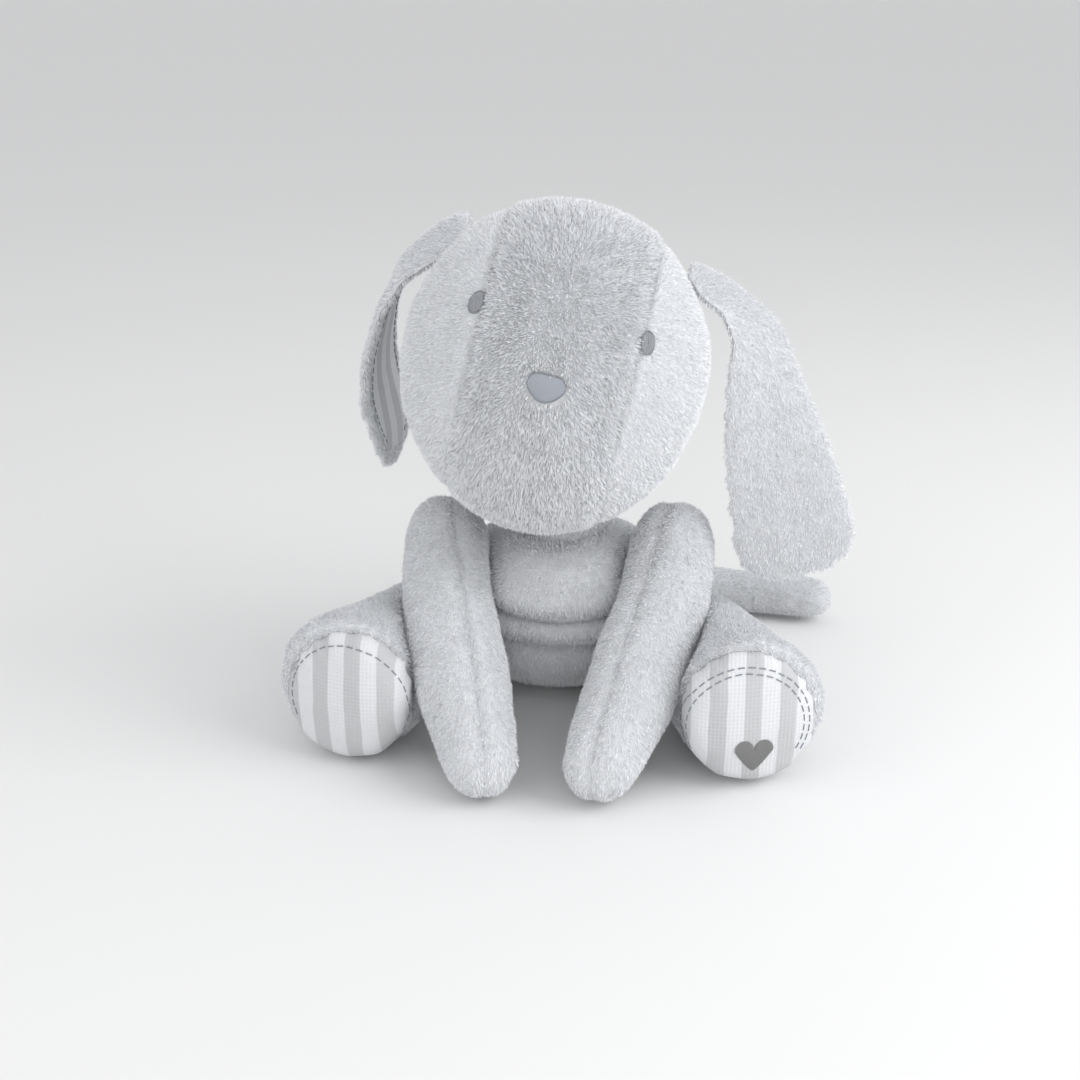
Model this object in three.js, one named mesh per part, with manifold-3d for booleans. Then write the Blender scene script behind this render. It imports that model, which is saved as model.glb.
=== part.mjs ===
// A floppy plush dog, sitting with its legs forward. Millimetres, +Z up, the dog faces -Y and its left
// is +X. The origin is the middle of the flat seat. Every limb's root is a ball on its own pivot, in a
// round recess that the torso or the head keeps open for it.
import * as THREE from 'three';
import { mergeVertices } from 'three/addons/utils/BufferGeometryUtils.js';
import Module from 'manifold-3d';

const wasm = await Module();
wasm.setup();

// ---- Driving dimensions ----
const TORSO_WIDTH = 168;
const TORSO_DEPTH = 152;
const TORSO_HEIGHT = 122;
const HEAD_WIDTH = 200;
const HEAD_DEPTH = 176;
const HEAD_HEIGHT = 216;
const HEAD_ROLL = THREE.MathUtils.degToRad(12.5);
const HEAD_FORWARD = 37;
const MUZZLE_REACH = 16;
const GUSSET_WIDTH = 96;
const NECK_RADIUS = 30;
const NECK_FORWARD = 15;
const NECK_LIFT = 5;
const ARM_RADIUS = 31;
const SHOULDER_RISE = 24;
const SHOULDER_INSET = 7;
const SHOULDER_FORWARD = 40;
const ARM_REACH = 150;
const HAND_SPREAD = 38;
const LEG_RADIUS = 35;
const HIP_INSET = 5;
const HIP_FORWARD = 12;
const FOOT_WIDTH = 94;
const FOOT_HEIGHT = 96;
const LEFT_FOOT_FORWARD = 155;
const RIGHT_FOOT_FORWARD = 146;
const EAR_WIDTH = 86;
const LEFT_EAR_DROP = 225;
const RIGHT_EAR_DROP = 172;
const TAIL_RADIUS = 18;
const TAIL_LENGTH = 178;
const TAIL_ASIDE = 24;
const EYE_SPACING = 103;
const EYE_HEIGHT = 45;
const EYE_SIZE = [10, 17];
const NOSE_HEIGHT = 13;
const NOSE_SIZE = [24, 18];
const MOTIF_SIZE = 27;
const MOTIF_DROP = 20;

// ---- Fabric and fits ----
const PLUSH = 3.2;
const COTTON = 1.2;
const PATCH = 1.3;
const SEAM_GAP = 0.3;
const FILL_GAP = 0.5;
const SOCKET_GAP = 2.6;
const LIMB_GAP = 2;
const FLOOR_GAP = 1;

// ---- How far each limb turns at its root, in degrees about X, Y and Z ----
const ARM_RAISE = 30;
const LIMBS_CLEAR = 15;
const LEG_SWING = 25;
const TAIL_WAG = 45;

// ---- Colours ----
const PLUSH_GREY = 0xc6c8cc;
const GUSSET_GREY = 0xc2c4c8;
const STRIPE_GREY = 0xd2d3d6;
const THREAD_GREY = 0x8f969f;
const FIBRE_WHITE = 0xf2f1ed;
const PELLET_CLOTH = 0xe6e2d8;

// A sphere's vertices, moved by place(around, down): around runs 0..1, down runs 0..1 from pole to pole.
function form(place, sectors, rings) {
  const geometry = new THREE.SphereGeometry(1, sectors, rings);
  const { position, uv } = geometry.attributes;
  const point = new THREE.Vector3();
  for (let i = 0; i < position.count; i += 1) {
    place(uv.getX(i), 1 - uv.getY(i), point);
    position.setXYZ(i, point.x, point.y, point.z);
  }
  return solid(geometry);
}

function solid(geometry) {
  geometry.deleteAttribute('normal');
  geometry.deleteAttribute('uv');
  const merged = mergeVertices(geometry, 1e-3);
  const vertProperties = new Float32Array(merged.attributes.position.array);
  const triVerts = new Uint32Array(merged.index.array);
  return new wasm.Manifold(new wasm.Mesh({ numProp: 3, vertProperties, triVerts }));
}

// A number that runs in straight steps through a list of evenly spaced stops.
function through(stops, t) {
  const place = Math.min(Math.max(t, 0), 1) * (stops.length - 1);
  const from = Math.min(Math.floor(place), stops.length - 2);
  return THREE.MathUtils.lerp(stops[from], stops[from + 1], place - from);
}

// A stuffed tube along a path. widths are half-widths along `side`, depths are half-depths across it,
// and the ends are domes, `domes` long. inset shrinks the tube evenly, for a lining or a filling. The
// rings are square to the path, or to `spine` on a body that is fatter than it is long.
function tube({ path, widths, depths, sides, domes, spine, inset = 0, square = 2, floor = -Infinity,
  shift = 0, sectors = 12, rings = 10 }) {
  const curve = new THREE.CatmullRomCurve3(path.map((p) => new THREE.Vector3(...p)), false, 'centripetal');
  const centre = new THREE.Vector3();
  const along = new THREE.Vector3();
  const side = new THREE.Vector3();
  const across = new THREE.Vector3();
  const domeShare = 3 / rings;
  const place = (around, down, point) => {
    const t = THREE.MathUtils.clamp((down - domeShare) / (1 - 2 * domeShare), 0, 1);
    const lean = Math.min(down, 1 - down) / domeShare * Math.PI / 2;
    const swell = Math.sin(Math.min(lean, Math.PI / 2));
    const dome = Math.cos(Math.min(lean, Math.PI / 2)) * ((t < 0.5 ? domes[0] : domes[1]) - inset);
    curve.getPointAt(t, centre);
    if (spine) along.set(...spine);
    else curve.getTangentAt(t, along);
    side.set(through(sides.map((s) => s[0]), t), through(sides.map((s) => s[1]), t),
      through(sides.map((s) => s[2]), t));
    side.addScaledVector(along, -side.dot(along)).normalize();
    across.crossVectors(side, along);
    const angle = around * 2 * Math.PI;
    const flat = (value) => Math.sign(value) * Math.abs(value) ** (2 / square);
    const wide = (through(widths, t) - inset) * swell * flat(Math.cos(angle));
    const deep = (through(depths, t) - inset) * swell * flat(Math.sin(angle)) + shift;
    point.copy(centre).addScaledVector(along, t < 0.5 ? -dome : dome);
    point.addScaledVector(side, wide).addScaledVector(across, deep);
    point.z = Math.max(point.z, floor);
  };
  return form(place, sectors, rings);
}

function ball(centre, radius) {
  const geometry = new THREE.SphereGeometry(radius, 14, 9);
  geometry.translate(...centre);
  return solid(geometry);
}

// All of space on the side of a plane that `normal` points to, as a big box.
function beyond(point, normal) {
  const size = 1200;
  const geometry = new THREE.BoxGeometry(size, size, size);
  geometry.translate(0, 0, size / 2);
  const turn = new THREE.Quaternion().setFromUnitVectors(
    new THREE.Vector3(0, 0, 1), new THREE.Vector3(...normal).normalize());
  geometry.applyQuaternion(turn);
  geometry.translate(...point);
  return solid(geometry);
}

// The two sides of a seam, each half a seam gap off the plane.
function split(body, point, normal) {
  const n = new THREE.Vector3(...normal).normalize();
  const half = SEAM_GAP / 2;
  const front = n.clone().multiplyScalar(half).add(new THREE.Vector3(...point));
  const back = n.clone().multiplyScalar(-half).add(new THREE.Vector3(...point));
  return [
    body.intersect(beyond(front.toArray(), n.toArray())),
    body.intersect(beyond(back.toArray(), n.clone().negate().toArray())),
  ];
}

const dog = new THREE.Group();

function addPiece(name, body, color, roughness, parent = dog) {
  const { vertProperties, triVerts } = body.getMesh();
  const geometry = new THREE.BufferGeometry();
  geometry.setAttribute('position', new THREE.BufferAttribute(new Float32Array(vertProperties), 3));
  geometry.setIndex(new THREE.BufferAttribute(new Uint32Array(triVerts), 1));
  geometry.computeVertexNormals();
  const mesh = new THREE.Mesh(geometry, new THREE.MeshStandardMaterial({ color, roughness, metalness: 0 }));
  mesh.name = name;
  parent.add(mesh);
}

const addPlush = (name, body, parent) => addPiece(name, body, PLUSH_GREY, 0.95, parent);
const addFibre = (name, body, parent) => addPiece(name, body, FIBRE_WHITE, 1, parent);

// ---- Pivots ----
const neckPivot = [0, -NECK_FORWARD, TORSO_HEIGHT + 3];
const shoulderX = TORSO_WIDTH / 2 - SHOULDER_INSET;
const shoulderZ = TORSO_HEIGHT + SHOULDER_RISE - ARM_RADIUS;
const shoulder = (hand) => [hand * shoulderX, -SHOULDER_FORWARD, shoulderZ];
const hipX = TORSO_WIDTH / 2 - HIP_INSET;
const hip = (hand) => [hand * hipX, -HIP_FORWARD, LEG_RADIUS + FLOOR_GAP + 3];
const tailPivot = [TAIL_ASIDE, TORSO_DEPTH / 2 - 2, TAIL_RADIUS + FLOOR_GAP + 11];
const headCentre = [-3, -NECK_FORWARD - HEAD_FORWARD, neckPivot[2] + HEAD_HEIGHT / 2 + NECK_LIFT];

// ---- Limb shapes ----
const armX = (hand, share) => hand * THREE.MathUtils.lerp(shoulderX, HAND_SPREAD, share);
function armForm(hand, inset = 0) {
  const root = shoulder(hand);
  return tube({
    path: [
      root,
      [armX(hand, 0.12), root[1] - ARM_REACH * 0.26, root[2] - 24],
      [armX(hand, 0.62), root[1] - ARM_REACH * 0.68, root[2] - 63],
      [armX(hand, 1), root[1] - ARM_REACH * 0.94, ARM_RADIUS - 4 + FLOOR_GAP],
    ],
    widths: [ARM_RADIUS - 2, ARM_RADIUS, ARM_RADIUS + 1, ARM_RADIUS - 6],
    depths: [ARM_RADIUS - 2, ARM_RADIUS, ARM_RADIUS, ARM_RADIUS - 7],
    sides: [[1, 0, 0], [1, 0, 0]],
    domes: [ARM_RADIUS - 2, ARM_RADIUS],
    floor: FLOOR_GAP + inset,
    inset,
  });
}

const armOuterX = THREE.MathUtils.lerp(shoulderX, HAND_SPREAD, 0.62) + ARM_RADIUS - 3;
const footX = armOuterX + LIMB_GAP + FOOT_WIDTH / 2;
const footForward = (hand) => (hand > 0 ? LEFT_FOOT_FORWARD : RIGHT_FOOT_FORWARD);
const footZ = FOOT_HEIGHT / 2 + FLOOR_GAP;
const SOLE_DOME = 18;
const solePlane = (hand) => [
  [hand * footX, -footForward(hand) - SOLE_DOME * 0.1, footZ], [0, -1, -0.16],
];
function legForm(hand, inset = 0) {
  const root = hip(hand);
  return tube({
    path: [
      root,
      [hand * THREE.MathUtils.lerp(hipX, footX, 0.5), -footForward(hand) * 0.5, root[2] + 5],
      [hand * footX, -footForward(hand), footZ],
    ],
    widths: [LEG_RADIUS, LEG_RADIUS + 5, LEG_RADIUS + 8, FOOT_WIDTH / 2],
    depths: [LEG_RADIUS, LEG_RADIUS + 7, LEG_RADIUS + 9, FOOT_HEIGHT / 2],
    sides: [[1, 0, 0], [1, 0, 0]],
    domes: [LEG_RADIUS, SOLE_DOME],
    floor: FLOOR_GAP + inset,
    inset,
  });
}

function tailForm(inset = 0) {
  const [x, y, z] = tailPivot;
  const low = TAIL_RADIUS + FLOOR_GAP;
  return tube({
    path: [
      [x, y, z],
      [x + TAIL_LENGTH * 0.17, y + 32, z - 5],
      [x + TAIL_LENGTH * 0.5, y + 42, low],
      [x + TAIL_LENGTH * 0.92, y + 30, low],
    ],
    widths: [TAIL_RADIUS, TAIL_RADIUS, TAIL_RADIUS - 1, TAIL_RADIUS - 2],
    depths: [TAIL_RADIUS, TAIL_RADIUS, TAIL_RADIUS - 1, TAIL_RADIUS - 2],
    sides: [[0, 0, 1], [0, 0, 1]],
    domes: [TAIL_RADIUS, TAIL_RADIUS - 2],
    floor: FLOOR_GAP + inset,
    inset,
    sectors: 9,
    rings: 11,
  });
}

// ---- Torso: a sack with a flat seat ----
function torsoForm(inset = 0) {
  return tube({
    path: [[0, 4, 40], [0, -3, TORSO_HEIGHT * 0.5], [0, -15, TORSO_HEIGHT - 34]],
    widths: [TORSO_WIDTH / 2, TORSO_WIDTH / 2 - 1, TORSO_WIDTH / 2 - 9],
    depths: [TORSO_DEPTH / 2, TORSO_DEPTH / 2 - 1, TORSO_DEPTH / 2 - 9],
    sides: [[1, 0, 0], [1, 0, 0]],
    domes: [46, 34],
    spine: [0, 0, 1],
    floor: inset,
    inset,
    square: 2.2,
    sectors: 16,
    rings: 11,
  });
}

// The space that a limb passes through as it turns about its pivot, from rest to its limit.
function swept(limb, pivot, limit, steps = 2) {
  const turned = (share) => limb.translate(pivot.map((value) => -value))
    .rotate(limit.map((angle) => angle * share)).translate(pivot);
  const places = Array.from({ length: steps + 1 }, (_, i) => turned(i / steps));
  return places.reduce((all, one) => all.add(one));
}

// Everything that the limbs need clear inside the torso, a little larger than the limbs themselves.
function torsoRecesses() {
  const limbs = [1, -1].flatMap((hand) => [
    swept(armForm(hand, -SOCKET_GAP), shoulder(hand), [-ARM_RAISE, 0, 0]),
    swept(legForm(hand, -SOCKET_GAP), hip(hand), [0, 0, hand * LEG_SWING]),
  ]);
  const neck = ball(neckPivot, NECK_RADIUS + SOCKET_GAP);
  const tail = swept(tailForm(-SOCKET_GAP), tailPivot, [0, 0, TAIL_WAG]);
  return [...limbs, neck, tail].reduce((all, one) => all.add(one));
}

const SEAT_EDGE = 9;
const BAG_HEIGHT = 26;
const SIDE_SEAM_BACK = 14;
const LABEL_REACH = 32;
function buildTorso() {
  const recesses = torsoRecesses();
  const skin = torsoForm().subtract(torsoForm(PLUSH)).subtract(recesses);
  const [upper, seat] = split(skin, [0, 0, SEAT_EDGE], [0, 0, 1]);
  const [belly, back] = split(upper, [0, SIDE_SEAM_BACK, 0], [0, -1, 0]);
  const [backLeft, backRight] = split(back, [0, 0, 0], [1, 0, 0]);
  addPlush('belly_panel', belly);
  addPlush('back_left_panel', backLeft);
  addPlush('back_right_panel', backRight);
  addPlush('seat_panel', seat);

  const filling = torsoForm(PLUSH + FILL_GAP).subtract(recesses);
  const bagTop = PLUSH + FILL_GAP + BAG_HEIGHT;
  const [fibre, bag] = split(filling, [0, 0, bagTop], [0, 0, 1]);
  addFibre('torso_stuffing', fibre);
  addPiece('bean_bag', bag, PELLET_CLOTH, 0.9);

  const label = new THREE.BoxGeometry(LABEL_REACH, COTTON, 18);
  label.translate(-TORSO_WIDTH / 2, SIDE_SEAM_BACK, TORSO_HEIGHT * 0.72);
  addPiece('care_label', solid(label).subtract(torsoForm(-SEAM_GAP)), FIBRE_WHITE, 0.8);
}

// ---- Head: in its own turned frame, with its centre at the frame's origin ----
const headFrame = new THREE.Group();
headFrame.position.set(...headCentre);
headFrame.rotation.y = HEAD_ROLL;
dog.add(headFrame);

const HEAD_SECTORS = 18;
const HEAD_RINGS = 13;
function headForm(inset = 0) {
  const half = [HEAD_WIDTH / 2 - inset, HEAD_DEPTH / 2 - inset, HEAD_HEIGHT / 2 - inset];
  const place = (around, down, point) => {
    const angle = around * 2 * Math.PI;
    const polar = down * Math.PI;
    const x = Math.sin(polar) * Math.cos(angle);
    const y = Math.sin(polar) * Math.sin(angle);
    const z = Math.cos(polar);
    const muzzle = Math.max(0, -y * 0.94 - z * 0.34) ** 3;
    point.set(half[0] * x, half[1] * y - MUZZLE_REACH * muzzle, half[2] * z);
  };
  return form(place, HEAD_SECTORS, HEAD_RINGS);
}

function toHead(point) {
  return new THREE.Vector3(...point).sub(headFrame.position)
    .applyEuler(new THREE.Euler(0, -HEAD_ROLL, 0)).toArray();
}

// An embroidered patch that lies on the head's surface, inside an upright oval seen from the front.
function patch(x, z, width, height) {
  const oval = new THREE.CylinderGeometry(0.5, 0.5, HEAD_DEPTH, 14);
  oval.scale(width, 1, height);
  oval.translate(x, -HEAD_DEPTH / 2, z);
  return headForm(-SEAM_GAP - PATCH).subtract(headForm(-SEAM_GAP)).intersect(solid(oval));
}

const HEAD_BACK_SEAM = 34;
function buildHead() {
  const recess = ball(toHead(neckPivot), NECK_RADIUS + SOCKET_GAP);
  const skin = headForm().subtract(headForm(PLUSH)).subtract(recess);
  const [back, face] = split(skin, [0, HEAD_BACK_SEAM, 0], [0, 1, -0.4]);
  const [left, rest] = split(face, [GUSSET_WIDTH / 2, 0, 0], [1, 0, 0]);
  const [right, gusset] = split(rest, [-GUSSET_WIDTH / 2, 0, 0], [-1, 0, 0]);
  addPlush('head_left_side', left, headFrame);
  addPlush('head_right_side', right, headFrame);
  addPlush('head_back', back, headFrame);
  addPiece('head_gusset', gusset, GUSSET_GREY, 0.95, headFrame);
  addFibre('head_stuffing', headForm(PLUSH + FILL_GAP).subtract(recess), headFrame);
  const eye = (side) => patch(side * EYE_SPACING / 2, EYE_HEIGHT, ...EYE_SIZE);
  addPiece('left_eye', eye(1), THREAD_GREY, 0.6, headFrame);
  addPiece('right_eye', eye(-1), THREAD_GREY, 0.6, headFrame);
  addPiece('nose', patch(0, NOSE_HEIGHT, ...NOSE_SIZE), THREAD_GREY, 0.6, headFrame);
}

// ---- Ears: plush outside, striped cotton inside, hung from a seam on the head ----
const EAR_OUTER = 4.4;
const EAR_RIM = 4;
const EAR_LAYER_GAP = 1.2;
const EAR_CLEAR = 4;
const EAR_GAP = 2;
function buildEar(name, path, sides, widths, liningSide) {
  const layer = (thickness, shift, rim) => tube({
    path,
    sides,
    widths: widths.map((w) => w - rim),
    depths: widths.map(() => thickness / 2),
    domes: [thickness / 2, 22 - rim],
    square: 3.2,
    shift,
    sectors: 8,
    rings: 13,
  });
  const outerShift = -liningSide * (EAR_OUTER + EAR_LAYER_GAP) / 2;
  const liningShift = liningSide * (COTTON + EAR_LAYER_GAP) / 2;
  const roll = [0, THREE.MathUtils.radToDeg(HEAD_ROLL), 0];
  const head = headForm(-EAR_GAP).rotate(roll).translate(headCentre);
  addPlush(`${name}_ear_outer`, layer(EAR_OUTER, outerShift, 0).subtract(head));
  const outerSpace = layer(EAR_OUTER + 2 * SEAM_GAP, outerShift, -SEAM_GAP);
  const lining = layer(COTTON, liningShift, EAR_RIM).subtract(outerSpace).subtract(head);
  addPiece(`${name}_ear_lining`, lining, STRIPE_GREY, 0.85);
}

// The place where an ear is sewn on, just outside the head in a direction from the head's centre.
function earRoot(direction) {
  const out = new THREE.Vector3(...direction);
  const half = [HEAD_WIDTH, HEAD_DEPTH, HEAD_HEIGHT].map((size) => size / 2 + EAR_CLEAR);
  const reach = Math.hypot(...out.toArray().map((value, i) => value / half[i]));
  return out.divideScalar(reach).applyEuler(headFrame.rotation).add(headFrame.position).toArray();
}

// The left ear hangs clear of the shoulder.
const earHang = Math.max(HEAD_WIDTH / 2, shoulderX + ARM_RADIUS) + 10;
function buildEars() {
  const [cx, cy, cz] = headCentre;
  const crown = cz + HEAD_HEIGHT / 2;
  const half = EAR_WIDTH / 2;
  const leftDown = (share) => crown - LEFT_EAR_DROP * share;
  buildEar('left', [
    earRoot([1, 0.49, 0.99]),
    [earHang + half * 0.08, cy + 36, leftDown(0.37)],
    [earHang + half * 0.42, cy + 22, leftDown(0.63)],
    [earHang + half * 0.76, cy + 8, leftDown(0.86)],
    [earHang + half * 0.94, cy, leftDown(1)],
  ], [[0.1, 1, 0.2], [0.7, 1, 0], [1, 0.5, 0], [1, 0.2, 0], [1, 0, 0]],
  [22, half * 0.62, half * 0.78, half * 0.94, half], 1);
  const rightDown = (share) => crown - RIGHT_EAR_DROP * share;
  const rightHang = cx - HEAD_WIDTH / 2;
  buildEar('right', [
    earRoot([-1, 0.46, 0.92]),
    [rightHang + 1, cy + 40, rightDown(0.3)],
    [rightHang - 17, cy + 40, rightDown(0.54)],
    [rightHang - 23, cy + 56, rightDown(0.77)],
    [rightHang - 17, cy + 84, rightDown(1)],
  ], [[0, 1, 0.5], [0, 1, 0.35], [0.1, 1, 0.1], [0.15, 1, 0.2], [0.2, 1, 0.3]],
  [22, half * 0.66, half * 0.84, half * 0.94, half * 0.9], -1);
}

// ---- Limbs ----
function buildArm(name, hand) {
  const skin = armForm(hand).subtract(armForm(hand, PLUSH));
  const seamPoint = [hand * (shoulderX + HAND_SPREAD) / 2, -ARM_REACH / 2 - 30, 60];
  const seamNormal = [hand, (HAND_SPREAD - shoulderX) / ARM_REACH, 0];
  const [outer, inner] = split(skin, seamPoint, seamNormal);
  addPlush(`${name}_arm_outer_panel`, outer);
  addPlush(`${name}_arm_inner_panel`, inner);
  addFibre(`${name}_arm_stuffing`, armForm(hand, PLUSH + FILL_GAP));
}

// A leg's own shape, dented where the arm lies against it, where the arm rises past it, and where it
// swings out past the arm. The dent's wall is as thick as the rest.
function dentedLeg(hand, inset = 0) {
  const arm = armForm(hand, -LIMB_GAP - inset);
  const rising = swept(arm, shoulder(hand), [-LIMBS_CLEAR, 0, 0], 3);
  const passed = swept(arm, hip(hand), [0, 0, -hand * LIMBS_CLEAR], 3);
  return legForm(hand, inset).subtract(rising).subtract(passed);
}

function buildLeg(name, hand) {
  const skin = dentedLeg(hand).subtract(dentedLeg(hand, PLUSH));
  const [sole, upper] = split(skin, ...solePlane(hand));
  const root = hip(hand);
  const run = new THREE.Vector3(hand * footX - root[0], -footForward(hand) - root[1], 0);
  const [outer, inner] = split(upper, root, [-hand * run.y, hand * run.x, 0]);
  addPlush(`${name}_leg_outer_panel`, outer);
  addPlush(`${name}_leg_inner_panel`, inner);
  addPiece(`${name}_sole`, sole, STRIPE_GREY, 0.85);
  addFibre(`${name}_leg_stuffing`, dentedLeg(hand, PLUSH + FILL_GAP));
}

// A plain heart, embroidered low on the left sole.
function buildMotif() {
  const heart = new THREE.Shape();
  heart.moveTo(0, -0.5);
  heart.bezierCurveTo(-0.55, -0.1, -0.55, 0.45, -0.25, 0.45);
  heart.bezierCurveTo(-0.1, 0.45, 0, 0.35, 0, 0.2);
  heart.bezierCurveTo(0, 0.35, 0.1, 0.45, 0.25, 0.45);
  heart.bezierCurveTo(0.55, 0.45, 0.55, -0.1, 0, -0.5);
  const options = { depth: FOOT_HEIGHT, bevelEnabled: false, curveSegments: 3 };
  const prism = new THREE.ExtrudeGeometry(heart, options);
  prism.scale(MOTIF_SIZE, MOTIF_SIZE, 1);
  prism.rotateX(Math.PI / 2);
  prism.translate(footX, -footForward(1), footZ - MOTIF_DROP);
  const cover = legForm(1, -SEAM_GAP - PATCH).subtract(legForm(1, -SEAM_GAP));
  addPiece('left_sole_motif', cover.intersect(solid(prism)), THREAD_GREY, 0.6);
}

function buildTail() {
  const rootCut = beyond(tailPivot, [0.55, 0.8, -0.1]);
  addPlush('tail_skin', tailForm().subtract(tailForm(PLUSH)).intersect(rootCut));
  addFibre('tail_stuffing', tailForm(PLUSH + FILL_GAP));
}

buildTorso();
addFibre('neck_stuffing', ball(neckPivot, NECK_RADIUS));
buildHead();
buildEars();
buildArm('left', 1);
buildArm('right', -1);
buildLeg('left', 1);
buildLeg('right', -1);
buildMotif();
buildTail();

export default dog;
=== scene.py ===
# %% [markdown]
# # A floppy plush dog
# The dog is cut from short-pile plush and filled with fibre. Each body is a smooth stuffed form first.
# Then it is parted along its seams into panels, and each panel grows its own pile.

# %% Load the frame
import math

import bmesh
import bpy
import numpy as np
from mathutils import Euler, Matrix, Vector
from mathutils.bvhtree import BVHTree


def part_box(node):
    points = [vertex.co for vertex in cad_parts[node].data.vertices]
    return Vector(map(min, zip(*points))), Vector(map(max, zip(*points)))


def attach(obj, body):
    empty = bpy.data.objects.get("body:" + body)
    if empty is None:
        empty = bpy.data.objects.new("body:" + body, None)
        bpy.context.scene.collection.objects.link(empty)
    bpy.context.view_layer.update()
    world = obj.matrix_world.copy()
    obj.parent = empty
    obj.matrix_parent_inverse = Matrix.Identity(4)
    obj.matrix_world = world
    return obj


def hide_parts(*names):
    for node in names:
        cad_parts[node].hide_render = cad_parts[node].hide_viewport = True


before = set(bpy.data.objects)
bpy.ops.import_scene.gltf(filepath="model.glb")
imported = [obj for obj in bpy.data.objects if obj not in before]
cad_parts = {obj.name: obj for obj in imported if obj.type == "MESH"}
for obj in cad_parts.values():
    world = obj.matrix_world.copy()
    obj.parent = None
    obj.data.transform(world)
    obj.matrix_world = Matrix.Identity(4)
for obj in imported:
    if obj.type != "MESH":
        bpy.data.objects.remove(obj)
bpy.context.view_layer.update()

# %% [markdown]
# ## The camera
# A 50 mm lens looks a little down on the dog from just beside its front, as a person at a table would.

# %% Camera
CAMERA_AROUND = math.radians(5.0)
CAMERA_DOWN = math.radians(20.8)
CAMERA_AWAY = 0.995
CAMERA_HEIGHT = 0.478
CAMERA_ASIDE = -0.0165
camera = bpy.data.objects.new("camera", bpy.data.cameras.new("camera"))
camera.data.lens = 50
camera.location = (
    CAMERA_AWAY * math.sin(CAMERA_AROUND) + CAMERA_ASIDE * math.cos(CAMERA_AROUND),
    -CAMERA_AWAY * math.cos(CAMERA_AROUND) + CAMERA_ASIDE * math.sin(CAMERA_AROUND),
    CAMERA_HEIGHT,
)
camera.rotation_euler = (math.pi / 2 - CAMERA_DOWN, 0, CAMERA_AROUND)
bpy.context.scene.collection.objects.link(camera)
bpy.context.scene.camera = camera
print("camera at", tuple(round(value, 3) for value in camera.location))

# %% [markdown]
# ## Node trees written as expressions
# A material or a geometry tree is easier to read as sums. Num wraps one socket, so that + - * / add their
# Math nodes, and Tree.add makes any other node in one call.


# %% Node helpers
class Num:
    """A number socket that takes part in arithmetic."""

    def __init__(self, tree, socket):
        self.tree, self.socket = tree, socket

    def math(self, operation, *others):
        values = {i + 1: other for i, other in enumerate(others)}
        return self.tree.add("ShaderNodeMath", {"operation": operation}, {0: self, **values})

    def __add__(self, other):
        return self.math("ADD", other)

    def __radd__(self, other):
        return self.math("ADD", other)

    def __sub__(self, other):
        return self.math("SUBTRACT", other)

    def __rsub__(self, other):
        return self.tree.add("ShaderNodeMath", {"operation": "SUBTRACT"}, {0: other, 1: self})

    def __mul__(self, other):
        return self.math("MULTIPLY", other)

    def __rmul__(self, other):
        return self.math("MULTIPLY", other)

    def __truediv__(self, other):
        return self.math("DIVIDE", other)


class Tree:
    """Adds nodes to one node tree."""

    def __init__(self, nodes):
        self.nodes = nodes

    def add(self, kind, settings=None, sockets=None, out=0):
        node = self.nodes.nodes.new(kind)
        for key, value in (settings or {}).items():
            setattr(node, key, value)
        for key, value in (sockets or {}).items():
            if isinstance(value, Num):
                self.nodes.links.new(value.socket, node.inputs[key])
            else:
                node.inputs[key].default_value = value
        return Num(self, node.outputs[out])


def grey(value, cool=0.012):
    """A pale cool grey as a linear colour, from its sRGB brightness out of 255."""
    linear = ((value / 255 + 0.055) / 1.055) ** 2.4
    return (linear * (1 - cool), linear, linear * (1 + cool * 2), 1)


# %% [markdown]
# ## Materials
# Plush is a knitted backing with a pile of fine fibres. The backing is slightly darker, because less light
# reaches it, and the pile is four close shades, so that tufts stand apart without a painted pattern.


# %% Plush
def new_material(name, sheen=0.0):
    material = bpy.data.materials.new(name)
    material.use_nodes = True
    tree = Tree(material.node_tree)
    shader = material.node_tree.nodes["Principled BSDF"]
    shader.inputs["Roughness"].default_value = 0.95
    shader.inputs["Specular IOR Level"].default_value = 0.15
    shader.inputs["Sheen Weight"].default_value = sheen
    shader.inputs["Sheen Roughness"].default_value = 0.6
    return material, tree, shader


def connect(tree, value, shader, socket):
    tree.nodes.links.new(value.socket, shader.inputs[socket])


def mix_colour(tree, factor, first, second):
    return tree.add(
        "ShaderNodeMix", {"data_type": "RGBA"}, {"Factor": factor, 6: first, 7: second}, out=2
    )


def object_place(tree):
    return tree.add("ShaderNodeTexCoord", out="Object")


def plush_backing(name, light, dark):
    material, tree, shader = new_material(name, sheen=0.25)
    place = object_place(tree)
    tufts = tree.add("ShaderNodeTexNoise", None, {"Vector": place, "Scale": 260.0, "Detail": 3.0})
    patches = tree.add("ShaderNodeTexNoise", None, {"Vector": place, "Scale": 28.0, "Detail": 2.0})
    mottled = tufts * 0.6 + patches * 0.4
    connect(tree, mix_colour(tree, mottled, dark, light), shader, "Base Color")
    bump = tree.add("ShaderNodeBump", None, {"Height": tufts, "Strength": 0.5, "Distance": 0.0015})
    connect(tree, bump, shader, "Normal")
    return material


def pile_shades(name, brightest):
    shades = []
    for i, step in enumerate((0, 4, 9, 15)):
        material, tree, shader = new_material(f"{name}_{i}", sheen=0.2)
        shader.inputs["Base Color"].default_value = grey(brightest - step)
        shades.append(material)
    return shades


backing = plush_backing("plush_backing", grey(230), grey(214))
gusset_backing = plush_backing("gusset_backing", grey(226), grey(208))
pile_pale = pile_shades("pile", 240)
pile_gusset = pile_shades("gusset_pile", 239)
print("plush materials", len(bpy.data.materials))

# %% [markdown]
# Striped cotton is a plain weave with a printed or woven stripe, so it gets a stripe from the piece's own
# place, a fine weave as bump, and a little unevenness in the dye.


# %% Striped cotton, thread and fibre
STRIPE_PERIOD = 0.0215


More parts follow.
